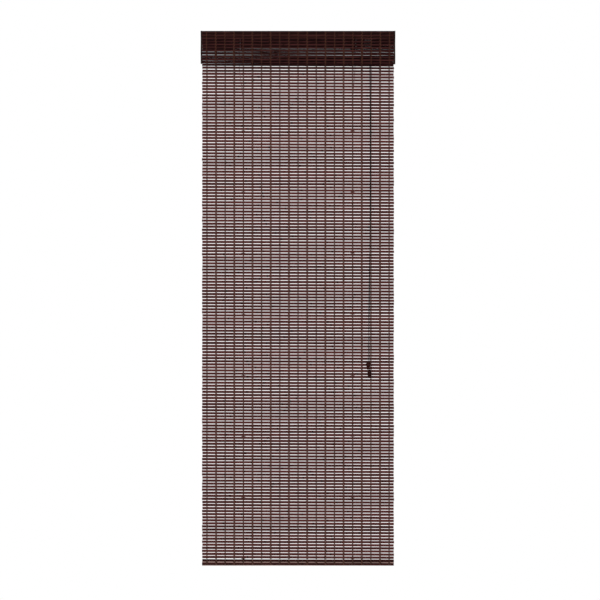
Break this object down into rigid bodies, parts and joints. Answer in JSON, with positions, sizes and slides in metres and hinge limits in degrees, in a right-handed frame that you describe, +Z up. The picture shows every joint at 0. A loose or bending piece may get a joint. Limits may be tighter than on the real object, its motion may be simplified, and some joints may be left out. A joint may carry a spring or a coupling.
{
  "type": "bamboo roman shade",
  "caption": "Window shade of dark woven bamboo slats with a short valance, which folds up in level pleats on cords drawn through rings behind it",
  "frame": {"origin": "middle of the headrail's top face, between its two mounting screws", "axes": "+X to the viewer's right along the headrail, +Y from the room towards the window, +Z up"},
  "size_m": [0.5936, 0.0634, 1.626],
  "materials": {
    "bamboo": "dark stained split bamboo, satin",
    "stained_timber": "dark stained timber, satin",
    "edge_tape": "woven cotton tape",
    "plated_steel": "bright zinc plate",
    "brass": "turned brass",
    "cord": "braided brown polyester",
    "tassel_wood": "turned and stained wood"
  },
  "bodies": {
    "headrail": {"headrail_board": "stained_timber", "valance": "bamboo", "valance_edge_bands": "edge_tape", "mat_top": "bamboo", "screw_eyes": "plated_steel", "cord_lock_body": "plated_steel", "cord_lock_screws": "plated_steel", "cord_lock_pin": "plated_steel", "lift_cord_left": "cord", "lift_cord_right": "cord", "pull_cord_front_upper": "cord", "pull_cord_back_upper": "cord"},
    "lock_roller": {"cord_lock_roller": "brass"},
    "fold_1_upper_half": {"fold_1_upper": "bamboo"},
    "fold_1_lower_half": {"fold_1_lower": "bamboo"},
    "ring_level_1": {"rings_1": "plated_steel"},
    "fold_2_upper_half": {"fold_2_upper": "bamboo"},
    "fold_2_lower_half": {"fold_2_lower": "bamboo"},
    "ring_level_2": {"rings_2": "plated_steel"},
    "fold_3_upper_half": {"fold_3_upper": "bamboo"},
    "fold_3_lower_half": {"fold_3_lower": "bamboo"},
    "ring_level_3": {"rings_3": "plated_steel"},
    "fold_4_upper_half": {"fold_4_upper": "bamboo"},
    "fold_4_lower_half": {"fold_4_lower": "bamboo"},
    "ring_level_4": {"rings_4": "plated_steel"},
    "fold_5_upper_half": {"fold_5_upper": "bamboo"},
    "fold_5_lower_half": {"fold_5_lower": "bamboo"},
    "ring_level_5": {"rings_5": "plated_steel"},
    "fold_6_upper_half": {"fold_6_upper": "bamboo"},
    "fold_6_lower_half": {"fold_6_lower": "bamboo"},
    "ring_level_6": {"rings_6": "plated_steel"},
    "fold_7_upper_half": {"fold_7_upper": "bamboo"},
    "fold_7_lower_half": {"fold_7_lower": "bamboo"},
    "ring_level_7": {"rings_7": "plated_steel"},
    "fold_8_upper_half": {"fold_8_upper": "bamboo"},
    "fold_8_lower_half": {"fold_8_lower": "bamboo"},
    "hem": {"hem_mat": "bamboo", "bottom_bar": "stained_timber", "rings_8": "plated_steel"},
    "cord_drape": {"pull_cord_front_lower": "cord", "pull_cord_back_lower": "cord"},
    "tassels": {"tassel_front": "tassel_wood", "tassel_back": "tassel_wood"}
  },
  "joints": [
    {"name": "roller_spin", "type": "hinge", "parent": "headrail", "child": "lock_roller", "pos_m": [0.213, 0.0132, -0.048], "axis": [0, 1, 0], "continuous": true},
    {"name": "fold_1_swing", "type": "hinge", "parent": "headrail", "child": "fold_1_upper_half", "pos_m": [0, 0.0218, -0.114], "axis": [-1, 0, 0], "range_deg": [0, 84], "deforming": ["lift_cord_left", "lift_cord_right", "pull_cord_front_upper", "pull_cord_back_upper"]},
    {"name": "crease_1", "type": "hinge", "parent": "fold_1_upper_half", "child": "fold_1_lower_half", "pos_m": [0, 0.0254, -0.20719], "axis": [-1, 0, 0], "range_deg": [-168, 0]},
    {"name": "ring_1_level", "type": "hinge", "parent": "fold_1_lower_half", "child": "ring_level_1", "pos_m": [0, 0.0218, -0.30038], "axis": [-1, 0, 0], "range_deg": [0, 84]},
    {"name": "fold_2_swing", "type": "hinge", "parent": "fold_1_lower_half", "child": "fold_2_upper_half", "pos_m": [0, 0.0218, -0.30038], "axis": [-1, 0, 0], "range_deg": [0, 168]},
    {"name": "crease_2", "type": "hinge", "parent": "fold_2_upper_half", "child": "fold_2_lower_half", "pos_m": [0, 0.0254, -0.39356], "axis": [-1, 0, 0], "range_deg": [-168, 0]},
    {"name": "ring_2_level", "type": "hinge", "parent": "fold_2_lower_half", "child": "ring_level_2", "pos_m": [0, 0.0218, -0.48675], "axis": [-1, 0, 0], "range_deg": [0, 84]},
    {"name": "fold_3_swing", "type": "hinge", "parent": "fold_2_lower_half", "child": "fold_3_upper_half", "pos_m": [0, 0.0218, -0.48675], "axis": [-1, 0, 0], "range_deg": [0, 168]},
    {"name": "crease_3", "type": "hinge", "parent": "fold_3_upper_half", "child": "fold_3_lower_half", "pos_m": [0, 0.0254, -0.57994], "axis": [-1, 0, 0], "range_deg": [-168, 0]},
    {"name": "ring_3_level", "type": "hinge", "parent": "fold_3_lower_half", "child": "ring_level_3", "pos_m": [0, 0.0218, -0.67312], "axis": [-1, 0, 0], "range_deg": [0, 84]},
    {"name": "fold_4_swing", "type": "hinge", "parent": "fold_3_lower_half", "child": "fold_4_upper_half", "pos_m": [0, 0.0218, -0.67312], "axis": [-1, 0, 0], "range_deg": [0, 168]},
    {"name": "crease_4", "type": "hinge", "parent": "fold_4_upper_half", "child": "fold_4_lower_half", "pos_m": [0, 0.0254, -0.76631], "axis": [-1, 0, 0], "range_deg": [-168, 0]},
    {"name": "ring_4_level", "type": "hinge", "parent": "fold_4_lower_half", "child": "ring_level_4", "pos_m": [0, 0.0218, -0.8595], "axis": [-1, 0, 0], "range_deg": [0, 84]},
    {"name": "fold_5_swing", "type": "hinge", "parent": "fold_4_lower_half", "child": "fold_5_upper_half", "pos_m": [0, 0.0218, -0.8595], "axis": [-1, 0, 0], "range_deg": [0, 168]},
    {"name": "crease_5", "type": "hinge", "parent": "fold_5_upper_half", "child": "fold_5_lower_half", "pos_m": [0, 0.0254, -0.95269], "axis": [-1, 0, 0], "range_deg": [-168, 0]},
    {"name": "ring_5_level", "type": "hinge", "parent": "fold_5_lower_half", "child": "ring_level_5", "pos_m": [0, 0.0218, -1.04588], "axis": [-1, 0, 0], "range_deg": [0, 84]},
    {"name": "fold_6_swing", "type": "hinge", "parent": "fold_5_lower_half", "child": "fold_6_upper_half", "pos_m": [0, 0.0218, -1.04588], "axis": [-1, 0, 0], "range_deg": [0, 168]},
    {"name": "crease_6", "type": "hinge", "parent": "fold_6_upper_half", "child": "fold_6_lower_half", "pos_m": [0, 0.0254, -1.13906], "axis": [-1, 0, 0], "range_deg": [-168, 0]},
    {"name": "ring_6_level", "type": "hinge", "parent": "fold_6_lower_half", "child": "ring_level_6", "pos_m": [0, 0.0218, -1.23225], "axis": [-1, 0, 0], "range_deg": [0, 84]},
    {"name": "fold_7_swing", "type": "hinge", "parent": "fold_6_lower_half", "child": "fold_7_upper_half", "pos_m": [0, 0.0218, -1.23225], "axis": [-1, 0, 0], "range_deg": [0, 168]},
    {"name": "crease_7", "type": "hinge", "parent": "fold_7_upper_half", "child": "fold_7_lower_half", "pos_m": [0, 0.0254, -1.32544], "axis": [-1, 0, 0], "range_deg": [-168, 0]},
    {"name": "ring_7_level", "type": "hinge", "parent": "fold_7_lower_half", "child": "ring_level_7", "pos_m": [0, 0.0218, -1.41863], "axis": [-1, 0, 0], "range_deg": [0, 84]},
    {"name": "fold_8_swing", "type": "hinge", "parent": "fold_7_lower_half", "child": "fold_8_upper_half", "pos_m": [0, 0.0218, -1.41863], "axis": [-1, 0, 0], "range_deg": [0, 168]},
    {"name": "crease_8", "type": "hinge", "parent": "fold_8_upper_half", "child": "fold_8_lower_half", "pos_m": [0, 0.0254, -1.51181], "axis": [-1, 0, 0], "range_deg": [-168, 0]},
    {"name": "hem_level", "type": "hinge", "parent": "fold_8_lower_half", "child": "hem", "pos_m": [0, 0.0218, -1.605], "axis": [-1, 0, 0], "range_deg": [0, 84]},
    {"name": "cord_drape_swing", "type": "hinge", "parent": "fold_1_upper_half", "child": "cord_drape", "pos_m": [0.22, 0.0132, -0.21219], "axis": [-1, 0, 0], "range_deg": [-84, 0]},
    {"name": "cord_pull", "type": "slide", "parent": "cord_drape", "child": "tassels", "axis": [0, 0, -1], "range_m": [0, 1.29], "deforming": ["pull_cord_front_lower", "pull_cord_back_lower"]}
  ],
  "couplings": [
    {"joint": "crease_1", "follows": "fold_1_swing", "ratio": -2},
    {"joint": "ring_1_level", "follows": "fold_1_swing", "ratio": 1},
    {"joint": "fold_2_swing", "follows": "fold_1_swing", "ratio": 2},
    {"joint": "crease_2", "follows": "fold_1_swing", "ratio": -2},
    {"joint": "ring_2_level", "follows": "fold_1_swing", "ratio": 1},
    {"joint": "fold_3_swing", "follows": "fold_1_swing", "ratio": 2},
    {"joint": "crease_3", "follows": "fold_1_swing", "ratio": -2},
    {"joint": "ring_3_level", "follows": "fold_1_swing", "ratio": 1},
    {"joint": "fold_4_swing", "follows": "fold_1_swing", "ratio": 2},
    {"joint": "crease_4", "follows": "fold_1_swing", "ratio": -2},
    {"joint": "ring_4_level", "follows": "fold_1_swing", "ratio": 1},
    {"joint": "fold_5_swing", "follows": "fold_1_swing", "ratio": 2},
    {"joint": "crease_5", "follows": "fold_1_swing", "ratio": -2},
    {"joint": "ring_5_level", "follows": "fold_1_swing", "ratio": 1},
    {"joint": "fold_6_swing", "follows": "fold_1_swing", "ratio": 2},
    {"joint": "crease_6", "follows": "fold_1_swing", "ratio": -2},
    {"joint": "ring_6_level", "follows": "fold_1_swing", "ratio": 1},
    {"joint": "fold_7_swing", "follows": "fold_1_swing", "ratio": 2},
    {"joint": "crease_7", "follows": "fold_1_swing", "ratio": -2},
    {"joint": "ring_7_level", "follows": "fold_1_swing", "ratio": 1},
    {"joint": "fold_8_swing", "follows": "fold_1_swing", "ratio": 2},
    {"joint": "crease_8", "follows": "fold_1_swing", "ratio": -2},
    {"joint": "hem_level", "follows": "fold_1_swing", "ratio": 1},
    {"joint": "cord_drape_swing", "follows": "fold_1_swing", "ratio": -1},
    {"joint": "cord_pull", "follows": "fold_1_swing", "m_per_rad": 0.872}
  ]
}
